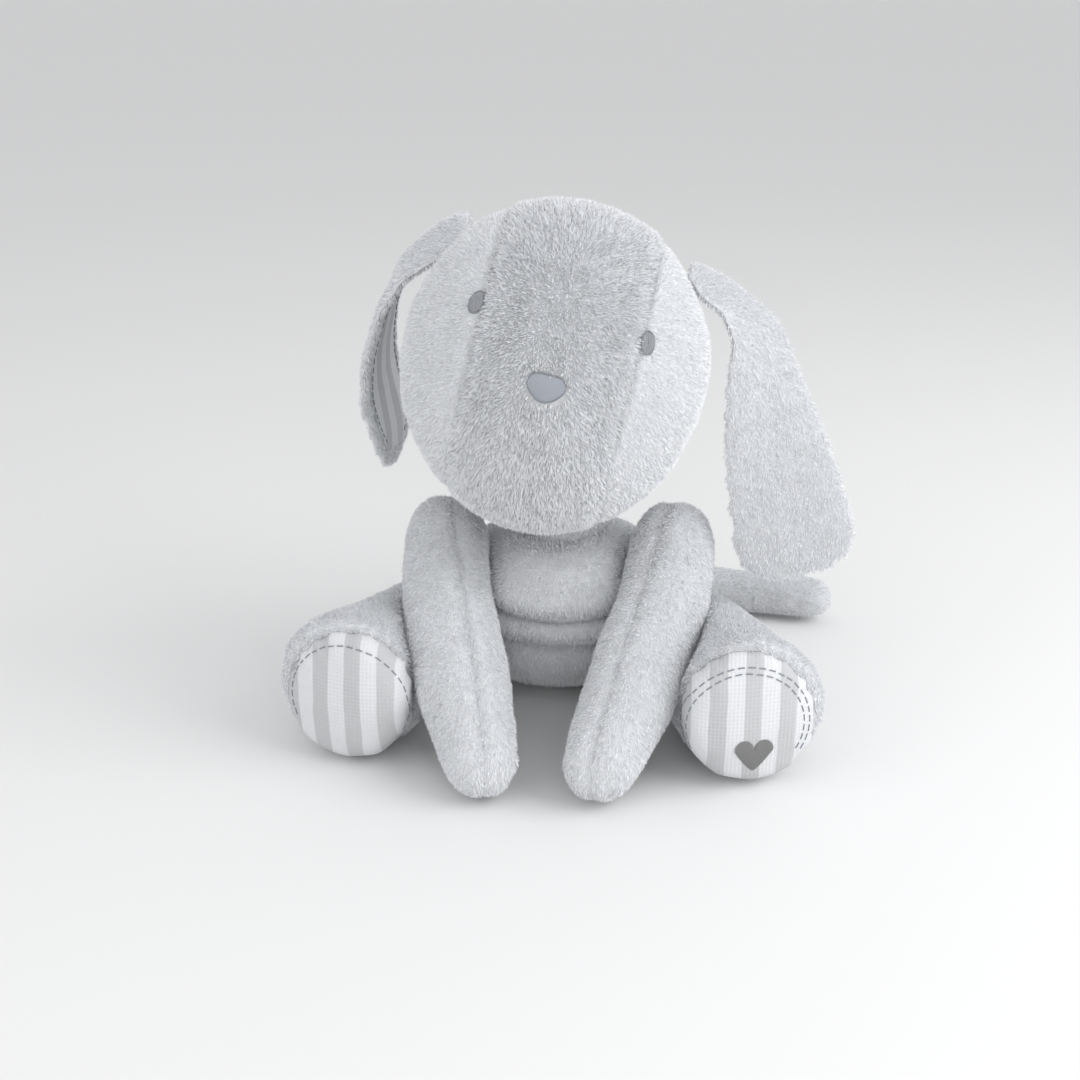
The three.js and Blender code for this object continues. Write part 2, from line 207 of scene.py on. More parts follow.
def striped_cotton(name):
    material, tree, shader = new_material(name, sheen=0.1)
    place = object_place(tree)
    split = tree.add("ShaderNodeAttribute", {"attribute_name": "across"}, out="Fac")
    height = tree.add("ShaderNodeSeparateXYZ", None, {0: place}, out=2)
    wobble = tree.add("ShaderNodeTexNoise", None, {"Vector": place, "Scale": 40.0, "Detail": 1.0})
    edge = (split / STRIPE_PERIOD + wobble * 0.12).math("PINGPONG", 0.5)
    stripe = tree.add(
        "ShaderNodeMapRange",
        {"interpolation_type": "SMOOTHSTEP"},
        {"Value": edge, "From Min": 0.22, "From Max": 0.28},
    )
    warp = (split * 2600.0).math("SINE")
    weft = (height * 2600.0).math("SINE")
    weave = warp * 0.5 + weft * 0.5
    dye = tree.add("ShaderNodeTexNoise", None, {"Vector": place, "Scale": 900.0, "Detail": 2.0})
    pale = mix_colour(tree, dye, grey(210), grey(221))
    dark = mix_colour(tree, dye, grey(184), grey(195))
    connect(tree, mix_colour(tree, stripe, pale, dark), shader, "Base Color")
    bump = tree.add("ShaderNodeBump", None, {"Height": weave + dye, "Strength": 0.35, "Distance": 0.0004})
    connect(tree, bump, shader, "Normal")
    shader.inputs["Roughness"].default_value = 0.85
    return material


def spun(name, shade, cool=0.03, scale=1400.0):
    """A thread or a fibre: a fine streaky colour with a soft gloss."""
    material, tree, shader = new_material(name)
    place = object_place(tree)
    streak = tree.add("ShaderNodeTexNoise", None, {"Vector": place, "Scale": scale, "Detail": 2.0})
    colour = mix_colour(tree, streak, grey(shade - 12, cool), grey(shade + 10, cool))
    connect(tree, colour, shader, "Base Color")
    shader.inputs["Roughness"].default_value = 0.5
    shader.inputs["Specular IOR Level"].default_value = 0.4
    return material


striped = striped_cotton("striped_cotton")
eye_thread = spun("eye_thread", 156, 0.03)
nose_thread = spun("nose_thread", 164, 0.06)
outline_thread = spun("outline_thread", 132, 0.04)
stitch_thread = spun("stitch_thread", 138, 0.06)
motif_thread = spun("motif_thread", 132, 0.0)
fibre_white = spun("fibre_white", 236, 0.0, 300.0)
ribbon = spun("ribbon", 238, 0.0, 700.0)
print("materials", len(bpy.data.materials))

# %% [markdown]
# ## Stuffed forms
# A filled limb has no flat places and no hard edges. The CAD solids of one body are joined, remeshed to
# one even skin, relaxed, and then blown up a little as cloth under pressure, which rounds them as filling
# does. How far a point may move is capped, so that the size stays.

# %% Stuffed forms
VOXEL = 0.0045


def link(mesh, name):
    obj = bpy.data.objects.new(name, mesh)
    bpy.context.scene.collection.objects.link(obj)
    return obj


def only(obj):
    bpy.ops.object.select_all(action="DESELECT")
    obj.select_set(True)
    bpy.context.view_layer.objects.active = obj


def apply_modifier(obj, kind, **settings):
    modifier = obj.modifiers.new(kind.lower(), kind)
    for key, value in settings.items():
        setattr(modifier, key, value)
    only(obj)
    bpy.ops.object.modifier_apply(modifier=modifier.name)


def joined_copy(name, nodes):
    form = bmesh.new()
    for node in nodes:
        form.from_mesh(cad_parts[node].data)
    bmesh.ops.remove_doubles(form, verts=form.verts, dist=1e-5)
    mesh = bpy.data.meshes.new(name)
    form.to_mesh(mesh)
    form.free()
    return link(mesh, name)


def points_of(obj):
    points = np.empty(len(obj.data.vertices) * 3)
    obj.data.vertices.foreach_get("co", points)
    return points.reshape(-1, 3)


def normals_of(obj):
    normals = np.empty(len(obj.data.vertices) * 3)
    obj.data.vertices.foreach_get("normal", normals)
    return normals.reshape(-1, 3)


def set_points(obj, points):
    obj.data.vertices.foreach_set("co", points.ravel())
    obj.data.update()


CLOTH_PRESSURE = 4
CLOTH_FRAMES = 14


def puff(obj, cap):
    """Blows obj up as cloth, and lets no point move further than cap."""
    before = points_of(obj)
    modifier = obj.modifiers.new("cloth", "CLOTH")
    modifier.settings.use_pressure = True
    modifier.settings.uniform_pressure_force = CLOTH_PRESSURE
    modifier.settings.effector_weights.gravity = 0
    modifier.settings.quality = 4
    modifier.point_cache.frame_start = 1
    modifier.point_cache.frame_end = CLOTH_FRAMES
    for step in range(1, CLOTH_FRAMES + 1):
        bpy.context.scene.frame_set(step)
    only(obj)
    bpy.ops.object.modifier_apply(modifier=modifier.name)
    bpy.context.scene.frame_set(1)
    move = points_of(obj) - before
    far = np.linalg.norm(move, axis=1, keepdims=True)
    set_points(obj, before + move * np.minimum(1, cap / np.maximum(far, 1e-9)))


def evened(obj, values, rounds):
    """values, one for each point of obj, averaged over neighbouring points again and again."""
    ends = np.empty(len(obj.data.edges) * 2, dtype=np.int64)
    obj.data.edges.foreach_get("vertices", ends)
    first, second = ends.reshape(-1, 2).T
    count = np.bincount(first, minlength=len(values)) + np.bincount(second, minlength=len(values))
    for _ in range(rounds):
        total = np.bincount(first, values[second], len(values))
        total += np.bincount(second, values[first], len(values))
        values = total / np.maximum(count, 1)
    return values


LOOK_OUT = 0.02
EVEN_ROUNDS = 25


def restore(obj, shape, swell):
    """Moves obj's skin back out to the surface of shape, plus swell, and keeps what is softly rounded."""
    points, normals = points_of(obj), normals_of(obj)
    short = np.zeros(len(points))
    for i, (point, normal) in enumerate(zip(points, normals)):
        outside = Vector(point + normal * LOOK_OUT)
        hit = shape.ray_cast(outside, Vector(-normal), 2 * LOOK_OUT)
        short[i] = np.nan if hit[0] is None else LOOK_OUT - hit[3]
    short = np.where(np.isnan(short), np.nanmedian(short), short)
    short = evened(obj, short, EVEN_ROUNDS)
    set_points(obj, points + normals * (short + swell)[:, None])


def lumps(obj, size, height):
    """Raises broad low lumps, because filling is never even."""
    clouds = bpy.data.textures.new("lumps", "CLOUDS")
    clouds.noise_scale = size
    apply_modifier(obj, "DISPLACE", texture=clouds, texture_coords="LOCAL", strength=height, mid_level=0.5)


FLOOR_CLEAR = 0.0006
LUMP_SIZE = 0.045


def stuffed(name, nodes, relax=10, swell=-0.0015, cap=0.003, voxel=VOXEL, lumpy=0.005):
    """One smooth filled form from CAD nodes. relax counts the rounds of smoothing before the cloth."""
    obj = joined_copy(name, nodes)
    shape = BVHTree.FromObject(obj, bpy.context.evaluated_depsgraph_get())
    apply_modifier(obj, "REMESH", mode="VOXEL", voxel_size=voxel)
    apply_modifier(obj, "SMOOTH", factor=0.5, iterations=relax)
    puff(obj, cap)
    apply_modifier(obj, "SMOOTH", factor=0.5, iterations=2)
    restore(obj, shape, swell)
    lumps(obj, LUMP_SIZE, lumpy)
    apply_modifier(obj, "SUBSURF", levels=1, render_levels=1)
    floor = points_of(obj)
    floor[:, 2] = np.maximum(floor[:, 2], FLOOR_CLEAR)
    set_points(obj, floor)
    print(name, "faces", len(obj.data.polygons))
    return obj


def press(obj, distance, depth, width):
    """Sinks obj's skin by depth where distance, one number for each point, is near 0."""
    sink = depth * np.exp(-((distance / width) ** 2))
    set_points(obj, points_of(obj) - normals_of(obj) * sink[:, None])


def from_plane(points, plane):
    place, normal = (np.array(part, float) for part in plane)
    return (points - place) @ (normal / np.linalg.norm(normal))


# %% [markdown]
# ## Panels and pile
# A panel is the part of a body's skin between its seams. Its raw edge turns in at the seam, which Solidify
# gives as a thin wall inwards. The pile is made of small bent blades, spread evenly by Geometry Nodes and
# laid along the nap. Hair curves would be finer but make no mesh to keep, so each blade is two triangles.
# Noise turns neighbouring blades the same way, so that they gather in tufts.


# %% One blade of pile
# A blade is 1 long before it is scaled, so its width and bend are shares of its length.
BLADE_WIDTH = 0.175
BLADE_BEND = 0.3
BLADE_RISE = 0.95


def blade_of_pile(name, material):
    bpy.ops.object.select_all(action="DESELECT")
    bpy.ops.mesh.primitive_plane_add(size=1)
    obj = bpy.context.object
    obj.name = name
    bpy.ops.object.mode_set(mode="EDIT")
    bpy.ops.transform.rotate(value=math.pi / 4, orient_axis="Z", center_override=(0, 0, 0))
    bpy.ops.transform.resize(value=(BLADE_WIDTH / math.sqrt(2), 1 / math.sqrt(2), 1))
    bpy.ops.object.mode_set(mode="OBJECT")
    points = points_of(obj)
    up = points[:, 1] + 0.5
    set_points(obj, np.column_stack([points[:, 0], BLADE_BEND * up**2, up * BLADE_RISE]))
    obj.data.materials.append(material)
    obj.data.shade_smooth()
    obj.hide_render = True
    obj.hide_viewport = True
    return obj


blades = {
    "plush": [blade_of_pile(f"blade_{i}", shade) for i, shade in enumerate(pile_pale)],
    "gusset": [blade_of_pile(f"gusset_blade_{i}", shade) for i, shade in enumerate(pile_gusset)],
}
print("shades of pile", len(blades["plush"]))


# %% Pile
SWIRLS = 450.0
SWIRL_SHARE = 0.8
SHORTEST = 0.65
LONGEST = 1.2


def random_node(tree, kind, sockets, out):
    return tree.add("FunctionNodeRandomValue", {"data_type": kind}, sockets, out)


def noise_around_zero(tree, place, scale, detail):
    sockets = {"Vector": place, "Scale": scale, "Detail": detail}
    noise = tree.add("ShaderNodeTexNoise", None, sockets, out="Color")
    return tree.add("ShaderNodeVectorMath", {"operation": "SUBTRACT"}, {0: noise, 1: (0.5, 0.5, 0.5)})


def pile_tree(kind, density, length, nap, lean, ruffle, tufts, seed):
    """A node tree that turns a skin into its pile of blades."""
    nodes = bpy.data.node_groups.new("pile", "GeometryNodeTree")
    nodes.interface.new_socket("Geometry", in_out="INPUT", socket_type="NodeSocketGeometry")
    nodes.interface.new_socket("Geometry", in_out="OUTPUT", socket_type="NodeSocketGeometry")
    tree = Tree(nodes)
    skin = tree.add("NodeGroupInput")
    thick = tree.add("GeometryNodeInputNamedAttribute", {"data_type": "FLOAT"}, {"Name": "thick"})
    sockets = {"Mesh": skin, "Density": thick * density, "Seed": seed}
    spread = tree.add("GeometryNodeDistributePointsOnFaces", None, sockets)
    normal = Num(tree, spread.socket.node.outputs["Normal"])
    place = tree.add("GeometryNodeInputPosition")
    curl = noise_around_zero(tree, place, tufts, 1.0)
    swirl = noise_around_zero(tree, place, SWIRLS, 0.0)

    def combined(operation, first, second):
        return tree.add("ShaderNodeVectorMath", {"operation": operation}, {0: first, 1: second})

    def scaled(first, scale):
        return tree.add("ShaderNodeVectorMath", {"operation": "SCALE"}, {0: first, "Scale": scale})

    dot = {"operation": "DOT_PRODUCT"}
    into = tree.add("ShaderNodeVectorMath", dot, {0: normal, 1: nap}, out="Value")
    along = combined("SUBTRACT", nap, scaled(normal, into))
    laid = combined("ADD", normal, scaled(along, lean))
    tufted = combined("ADD", laid, scaled(curl, ruffle))
    mixed = combined("ADD", tufted, scaled(swirl, ruffle * SWIRL_SHARE))
    upright = tree.add("FunctionNodeAlignRotationToVector", {"axis": "Z"}, {"Vector": mixed})
    spin = random_node(tree, "FLOAT", {2: -3.14, 3: 3.14, "Seed": seed + 1}, 1)
    about = tree.add("FunctionNodeAxisAngleToRotation", None, {"Axis": (0, 0, 1), "Angle": spin})
    turned = tree.add("FunctionNodeRotateRotation", {"rotation_space": "LOCAL"}, {0: upright, 1: about})
    size = random_node(tree, "FLOAT", {2: length * SHORTEST, 3: length * LONGEST, "Seed": seed + 2}, 1)
    which = random_node(tree, "INT", {4: 0, 5: len(blades[kind]) - 1, "Seed": seed + 3}, 2)
    shades = nodes.nodes.new("GeometryNodeJoinGeometry")
    for blade in blades[kind]:
        one = tree.add("GeometryNodeObjectInfo", None, {"Object": blade, "As Instance": True}, out="Geometry")
        nodes.links.new(one.socket, shades.inputs[0])
    grown = tree.add(
        "GeometryNodeInstanceOnPoints",
        None,
        {
            "Points": spread,
            "Instance": Num(tree, shades.outputs[0]),
            "Pick Instance": True,
            "Instance Index": which,
            "Rotation": turned,
            "Scale": size,
        },
    )
    real = tree.add("GeometryNodeRealizeInstances", None, {0: grown})
    end = nodes.nodes.new("NodeGroupOutput")
    nodes.links.new(real.socket, end.inputs[0])
    return nodes


def grow_pile(
    skin,
    name,
    kind="plush",
    density=1.52e6,
    length=0.0032,
    nap=(0, 0, -1),
    lean=1.25,
    ruffle=0.7,
    tufts=130.0,
    seed=1,
    thick=None,
):
    """A new object with the pile that grows on skin. thick, one share for each point, thins it.

    density is blades in a square metre, lean is how far they lie along the nap, and tufts is how fine the
    tufts are. Where the dog rests on the table the blades are pressed flat on it.
    """
    pile = link(skin.data.copy(), name)
    share = pile.data.attributes.new("thick", "FLOAT", "POINT")
    values = np.ones(len(pile.data.vertices)) if thick is None else thick
    share.data.foreach_set("value", np.asarray(values, dtype=np.float32))
    modifier = pile.modifiers.new("pile", "NODES")
    modifier.node_group = pile_tree(kind, density, length, nap, lean, ruffle, tufts, seed)
    only(pile)
    bpy.ops.object.modifier_apply(modifier=modifier.name)
    tips = points_of(pile)
    tips[:, 2] = np.maximum(tips[:, 2], 0)
    set_points(pile, tips)
    print(name, "blades", len(pile.data.polygons))
    return pile


PANEL_WALL = 0.0018


def cut_panel(skin, name, cuts, material):
    """The part of skin on the positive side of every cut plane, as a new open surface."""
    panel = link(skin.data.copy(), name)
    panel.data.name = name
    only(panel)
    for place, normal in cuts:
        bpy.ops.object.mode_set(mode="EDIT")
        bpy.ops.mesh.select_all(action="SELECT")
        bpy.ops.mesh.bisect(plane_co=place, plane_no=normal, clear_inner=True)
        bpy.ops.object.mode_set(mode="OBJECT")
    panel.data.materials.clear()
    panel.data.materials.append(material)
    panel.data.shade_smooth()
    return panel


def wall(panel, thickness=PANEL_WALL):
    apply_modifier(panel, "SOLIDIFY", thickness=thickness, offset=-1, use_rim=True)


def set_across(obj, values):
    """Stores each point's place across the stripes."""
    share = obj.data.attributes.new("across", "FLOAT", "POINT")
    share.data.foreach_set("value", np.asarray(values, dtype=np.float32))


def flipped(plane):
    place, normal = plane
    return place, tuple(-part for part in normal)


def filling(skin, name, nodes, body, inset=0.005):
    """The fibre inside skin, a little smaller than it."""
    fibre = link(skin.data.copy(), name)
    set_points(fibre, points_of(fibre) - normals_of(fibre) * inset)
    apply_modifier(fibre, "DECIMATE", ratio=0.2)
    fibre.data.materials.clear()
    fibre.data.materials.append(fibre_white)
    finish_piece(fibre, body, nodes)


def finish_piece(obj, body, nodes=()):
    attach(obj, body)
    if nodes:
        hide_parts(*nodes)


def discard(obj):
    bpy.data.objects.remove(obj)


# %% [markdown]
# ## The head
# The head is a big egg with a soft muzzle. A wide gusset runs from the throat over the nose to the crown,
# and its nap is longer and more ruffled than the sides'.

# %% Head
HEAD_ROLL = math.radians(12.5)
GUSSET_HALF = 0.048
BACK_SEAM = 0.034
BACK_SEAM_LEAN = -0.4
low, high = (Vector(corner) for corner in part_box("head_stuffing"))
head_centre = Vector(((low.x + high.x) / 2, -0.052, (low.z + high.z) / 2))
head_turn = Euler((0, HEAD_ROLL, 0)).to_matrix()


def head_plane(place, normal):
    """A plane given in the head's own rolled frame, in the row frame."""
    return tuple(head_centre + head_turn @ Vector(place)), tuple(head_turn @ Vector(normal))


left_seam = head_plane((GUSSET_HALF, 0, 0), (1, 0, 0))
right_seam = head_plane((-GUSSET_HALF, 0, 0), (-1, 0, 0))
back_seam = head_plane((0, BACK_SEAM, 0), (0, 1, BACK_SEAM_LEAN))
head_skin = stuffed(
    "head_skin",
    ["head_gusset", "head_left_side", "head_right_side", "head_back", "head_stuffing"],
    relax=14,
)
for seam in (left_seam, right_seam):
    points = points_of(head_skin)
    on_face = from_plane(points, back_seam) < 0
    press(head_skin, np.where(on_face, from_plane(points, seam), 1), 0.0016, 0.003)
press(head_skin, from_plane(points_of(head_skin), back_seam), 0.0016, 0.003)
filling(head_skin, "head_filling", ["head_stuffing"], "head")


# Eyes lean in towards the crown. Sizes are half-widths and half-heights, in metres.
EYES = {"left_eye": (0.0515, 0.045, 0.26), "right_eye": (-0.0515, 0.045, -0.26)}
EYE_HALF = (0.0035, 0.0062)
NOSE_PLACE = (0.0, 0.013)
NOSE_HALF = (0.0110, 0.0083)


def to_head(points):
    return (np.asarray(points) - np.array(head_centre)) @ np.array(head_turn)


def pile_around_face(points):
    """1 where the pile grows in full, and 0 under an eye or the nose."""
    local = to_head(points)
    share = np.ones(len(local))
    patches = [(x, z, *EYE_HALF) for x, z, _ in EYES.values()] + [(*NOSE_PLACE, *NOSE_HALF)]
    for x, z, half_width, half_height in patches:
        far = np.hypot((local[:, 0] - x) / half_width, (local[:, 2] - z) / half_height)
        share = np.where((local[:, 1] < 0) & (far < 1.12), 0.0, share)
    return share


HEAD_PANELS = {
    "gusset_plush": ("head_gusset", [flipped(left_seam), flipped(right_seam), flipped(back_seam)]),
    "left_side_plush": ("head_left_side", [left_seam, flipped(back_seam)]),
    "right_side_plush": ("head_right_side", [right_seam, flipped(back_seam)]),
    "head_back_plush": ("head_back", [back_seam]),
}
for i, (name, (node, cuts)) in enumerate(HEAD_PANELS.items()):
    is_gusset = node == "head_gusset"
    panel = cut_panel(head_skin, name, cuts, gusset_backing if is_gusset else backing)
    thick = pile_around_face(points_of(panel))
    if is_gusset:
        pile = grow_pile(
            panel,
            f"{name}_pile",
            "gusset",
            density=1.9e6,
            length=0.0042,
            nap=(0, 0.7, -0.8),
            lean=1.1,
            ruffle=1.0,
            tufts=120.0,
            seed=10,
            thick=thick,
        )
    else:
        pile = grow_pile(panel, f"{name}_pile", nap=(0, 0.8, -0.8), seed=20 + i, thick=thick)
    wall(panel)
    finish_piece(panel, "head", [node])
    finish_piece(pile, "head")

# %% [markdown]
# ## The torso
# The torso is a slack sack. Its front sags into two broad folds under the chin and between the arms.

# %% Torso
SIDE_SEAM = ((0, 0.014, 0), (0, -1, 0))
SEAT_SEAM = ((0, 0, 0.009), (0, 0, 1))
MIDDLE_SEAM = ((0.0001, 0, 0), (1, 0, 0))
torso_skin = stuffed(
    "torso_skin",
    ["belly_panel", "back_left_panel", "back_right_panel", "seat_panel", "torso_stuffing", "bean_bag"],
    relax=16,
)
# A fold is a furrow with a roll of plush just above it: its height, sag in the middle, and depth.
FOLDS = ((0.084, 0.016, 0.007), (0.058, 0.010, 0.006))
FURROW_WIDTH = 0.006
ROLL_ABOVE = 0.013
ROLL_HEIGHT = 0.004
ROLL_WIDTH = 0.009
points = points_of(torso_skin)
front = np.clip(-points[:, 1] / 0.03, 0, 1)
for height, sag, depth in FOLDS:
    line = points[:, 2] - height + sag * (1 - (points[:, 0] / 0.07) ** 2)
    furrow = depth * front * np.exp(-((line / FURROW_WIDTH) ** 2))
    roll = ROLL_HEIGHT * front * np.exp(-(((line - ROLL_ABOVE) / ROLL_WIDTH) ** 2))
    sink = furrow - roll
    set_points(torso_skin, points_of(torso_skin) - normals_of(torso_skin) * sink[:, None])
press(torso_skin, from_plane(points_of(torso_skin), SIDE_SEAM), 0.0015, 0.003)
filling(torso_skin, "torso_filling", ["torso_stuffing", "bean_bag"], "torso")
TORSO_PANELS = {
    "belly_plush": ("belly_panel", [SIDE_SEAM, SEAT_SEAM]),
    "back_left_plush": ("back_left_panel", [flipped(SIDE_SEAM), SEAT_SEAM, MIDDLE_SEAM]),
    "back_right_plush": ("back_right_panel", [flipped(SIDE_SEAM), SEAT_SEAM, flipped(MIDDLE_SEAM)]),
    "seat_plush": ("seat_panel", [flipped(SEAT_SEAM)]),
}
for i, (name, (node, cuts)) in enumerate(TORSO_PANELS.items()):
    panel = cut_panel(torso_skin, name, cuts, backing)
    if node != "seat_panel":
        pile = grow_pile(panel, f"{name}_pile", seed=30 + i)
        finish_piece(pile, "torso")
    wall(panel)
    finish_piece(panel, "torso", [node])

neck_skin = stuffed("neck_plush", ["neck_stuffing"], relax=2, swell=0)
neck_skin.data.materials.append(backing)
pile = grow_pile(neck_skin, "neck_plush_pile", seed=40)
finish_piece(pile, "neck")
finish_piece(neck_skin, "neck", ["neck_stuffing"])

# %% [markdown]
# ## Arms, legs and tail
# Each limb is two long panels, with a seam down its front and its back. The foot ends in a sole of cotton.

# %% Arms
ARM_SEAM_PLACE = (0.0575, -0.105, 0.06)
ARM_SEAM_LEAN = -0.26
for hand, side in ((1, "left"), (-1, "right")):
    nodes = [f"{side}_arm_outer_panel", f"{side}_arm_inner_panel"]
    seam = ((hand * ARM_SEAM_PLACE[0], *ARM_SEAM_PLACE[1:]), (hand, ARM_SEAM_LEAN, 0))
    arm_skin = stuffed(f"{side}_arm_skin", nodes + [f"{side}_arm_stuffing"])
    press(arm_skin, from_plane(points_of(arm_skin), seam), 0.0018, 0.005)
    filling(arm_skin, f"{side}_arm_filling", [f"{side}_arm_stuffing"], f"{side}_arm")
    for i, (node, cut) in enumerate(zip(nodes, (seam, flipped(seam)))):
        panel = cut_panel(arm_skin, node.replace("panel", "plush"), [cut], backing)
        pile = grow_pile(panel, f"{panel.name}_pile", nap=(0, -0.5, -1), seed=50 + i)
        wall(panel)
        finish_piece(panel, f"{side}_arm", [node])
        finish_piece(pile, f"{side}_arm")
    discard(arm_skin)

# %% Legs
SOLE_DEPTH = 0.028
SOLE_HEIGHT = 0.049
SOLE_TILT = -0.16
PUCKERS = 22
PUCKER_HEIGHT = 0.0007
PUCKER_REACH = 0.009
HIP = (0.079, -0.012, 0.039)
LEG_SEAM_LEAN = {"left": 0.355, "right": 0.379}


def puckers(points, centre, plane):
    """Little radial gathers on both sides of a sole's seam, where the plush is eased in."""
    around = np.arctan2(points[:, 2] - centre[2], points[:, 0] - centre[0])
    near = np.exp(-((from_plane(points, plane) / PUCKER_REACH) ** 2))
    uneven = around * PUCKERS + 1.7 * np.sin(around * 5) + 1.1 * np.sin(around * 9 + 1)
    return PUCKER_HEIGHT * near * np.sin(uneven)


sole_shapes = {}
for hand, side in ((1, "left"), (-1, "right")):
    low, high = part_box(f"{side}_sole")
    sole_middle = ((low[0] + high[0]) / 2, low[1], (low[2] + high[2]) / 2)
    sole_seam = ((0, low[1] + SOLE_DEPTH, SOLE_HEIGHT), (0, -1, SOLE_TILT))
    seam = ((hand * HIP[0], *HIP[1:]), (hand, LEG_SEAM_LEAN[side], 0))
    nodes = [f"{side}_leg_outer_panel", f"{side}_leg_inner_panel"]
    leg_nodes = nodes + [f"{side}_sole", f"{side}_leg_stuffing"]
    leg_skin = stuffed(f"{side}_leg_skin", leg_nodes, relax=6, swell=-0.0005)
    points = points_of(leg_skin)
    set_points(leg_skin, points + normals_of(leg_skin) * puckers(points, sole_middle, sole_seam)[:, None])
    press(leg_skin, from_plane(points_of(leg_skin), sole_seam), 0.0026, 0.003)
    filling(leg_skin, f"{side}_leg_filling", [f"{side}_leg_stuffing"], f"{side}_leg")
    for i, (node, cut) in enumerate(zip(nodes, (seam, flipped(seam)))):
        panel = cut_panel(leg_skin, node.replace("panel", "plush"), [cut, flipped(sole_seam)], backing)
        pile = grow_pile(panel, f"{panel.name}_pile", nap=(0, -0.8, -0.3), seed=60 + i)
        wall(panel)
        finish_piece(panel, f"{side}_leg", [node])
        finish_piece(pile, f"{side}_leg")
    sole = cut_panel(leg_skin, f"{side}_sole_cotton", [sole_seam], striped)
    sole_shapes[side] = BVHTree.FromObject(sole, bpy.context.evaluated_depsgraph_get())
    wall(sole, 0.001)
    set_across(sole, points_of(sole)[:, 0] - sole_middle[0] + STRIPE_PERIOD / 4)
    finish_piece(sole, f"{side}_leg", [f"{side}_sole"])
    discard(leg_skin)

# %% Tail
tail_skin = stuffed("tail_plush", ["tail_skin", "tail_stuffing"], relax=4, voxel=0.004, lumpy=0.002)
tail_skin.data.materials.append(backing)
tail_skin.data.shade_smooth()
pile = grow_pile(tail_skin, "tail_plush_pile", nap=(1, 0, -0.2), seed=70)
finish_piece(pile, "tail")
finish_piece(tail_skin, "tail", ["tail_skin", "tail_stuffing"])

# %% [markdown]
# ## Thread
# Embroidery is hundreds of stitches side by side, and a topstitch is a row of short dashes. Both are thin
# bevelled curves made into meshes, and a ray finds the place of each point on the cloth beneath.


# %% Stitches
def stitches(name, lines, radius, material, body, nodes=(), closed=False):
    curve = bpy.data.curves.new(name, "CURVE")
    curve.dimensions = "3D"
    curve.bevel_depth = radius
    curve.bevel_resolution = 1
    curve.use_fill_caps = not closed
    for line in lines:
        spline = curve.splines.new("POLY")
        spline.points.add(len(line) - 1)
        spline.points.foreach_set("co", [value for point in line for value in (*point, 1)])
        spline.use_cyclic_u = closed
    obj = link(curve, name)
    only(obj)
    bpy.ops.object.convert(target="MESH")
    obj = bpy.context.object
    obj.data.materials.clear()
    obj.data.materials.append(material)
    obj.data.shade_smooth()
    finish_piece(obj, body, nodes)
    return obj


def onto(shape, start, direction, lift):
    """The point of shape that a ray meets, lifted off its surface."""
    place, normal, _, _ = shape.ray_cast(Vector(start), Vector(direction))
    return place + normal * lift if place else None


def leaned(x, z, lean):
    return x * math.cos(lean) - z * math.sin(lean), x * math.sin(lean) + z * math.cos(lean)


RAY_START = 0.3
SHORTEST_STITCH = 0.06


def satin(
    name, node, place, shape, facing, turn, lean, span, half, body, material, spacing=0.00042, lift=0.0018
):
    """Upright stitches side by side. span(u) gives the lowest and highest v, in half-heights."""
    lines = []
    steps = int(2 * half[0] / spacing)
    for column in range(steps + 1):
        u = -1 + 2 * column / steps
        bottom, top = span(u)
        if top - bottom < SHORTEST_STITCH:
            continue
        line = []
        for share in np.linspace(0, 1, 9):
            x, z = leaned(u * half[0], (bottom + (top - bottom) * share) * half[1], lean)
            start = Vector(place) + turn @ Vector((x, -RAY_START, z))
            crown = lift + 0.0008 * math.sin(math.pi * share) ** 0.5
            line.append(onto(shape, start, facing, crown))
        lines.append([point for point in line if point])
    return stitches(name, lines, spacing * 0.62, material, body, [node])


def outline(name, place, shape, facing, turn, lean, rim, half, body, material, lift=0.0022, radius=0.00045):
    """A closed line of stitches round a patch. rim lists (u, v) in halves."""
    line = []
    for u, v in rim:
        x, z = leaned(u * half[0], v * half[1], lean)
        start = Vector(place) + turn @ Vector((x, -RAY_START, z))
        line.append(onto(shape, start, facing, lift))
    return stitches(name, [line], radius, material, body, closed=True)


def oval(u):
    high = math.sqrt(max(0, 1 - u * u))
    return -high, high


def muzzle_tip(u):
    """A nose: a nearly flat top with round corners, and a rounded point below."""
    top = 0.86 * (1 - abs(u) ** 5) ** 0.5
    return -((1 - abs(u) ** 1.9) ** 0.75), top


def rim_of(span, count=48):
    us = [-math.cos(math.pi * i / count) for i in range(count + 1)]
    return [(u, span(u)[1]) for u in us] + [(u, span(u)[0]) for u in reversed(us)][1:-1]


head_shape = BVHTree.FromObject(head_skin, bpy.context.evaluated_depsgraph_get())
facing = head_turn @ Vector((0, 1, 0))
FACE = [(node, x, z, lean, oval, EYE_HALF, eye_thread) for node, (x, z, lean) in EYES.items()]
FACE.append(("nose", *NOSE_PLACE, 0, muzzle_tip, NOSE_HALF, nose_thread))
for node, x, z, lean, span, half, thread in FACE:
    place = head_centre + head_turn @ Vector((x, 0, z))
    where = (place, head_shape, facing, head_turn, lean)
    satin(f"{node}_satin", node, *where, span, half, "head", thread)
    outline(f"{node}_rim", *where, rim_of(span), half, "head", outline_thread)
print("face stitched")

# %% [markdown]
# The motif on the left sole is a plain heart. A row of topstitching runs round each sole, a little inside
# its edge.


# %% Soles' stitching
def heart(u):
    top = 0.62 * math.sqrt(max(0, 1 - (2 * abs(u) - 1) ** 2)) + 0.28
    return -1 + 1.28 * abs(u) ** 1.25, top


